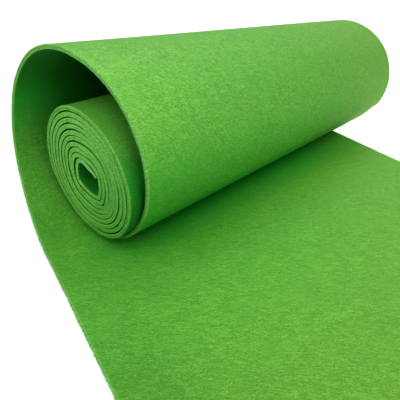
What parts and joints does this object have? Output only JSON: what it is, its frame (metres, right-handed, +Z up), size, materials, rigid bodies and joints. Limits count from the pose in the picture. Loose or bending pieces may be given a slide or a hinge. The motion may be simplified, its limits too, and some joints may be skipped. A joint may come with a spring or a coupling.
{
  "type": "roll of felt",
  "caption": "Length of thick needled felt, part unrolled: a flat end lies on the surface and runs under a coil with a loose outer lap.",
  "frame": {"origin": "middle of the footprint, on the surface that the felt lies on", "axes": "+X along the roll, from its open near end to its far end; +Y from the flat end of the cloth to the roll; +Z up"},
  "size_m": [0.4419, 0.3562, 0.1353],
  "materials": {
    "felt": "matt needled felt"
  },
  "bodies": {
    "root": {"felt_strip": "felt"}
  },
  "joints": []
}
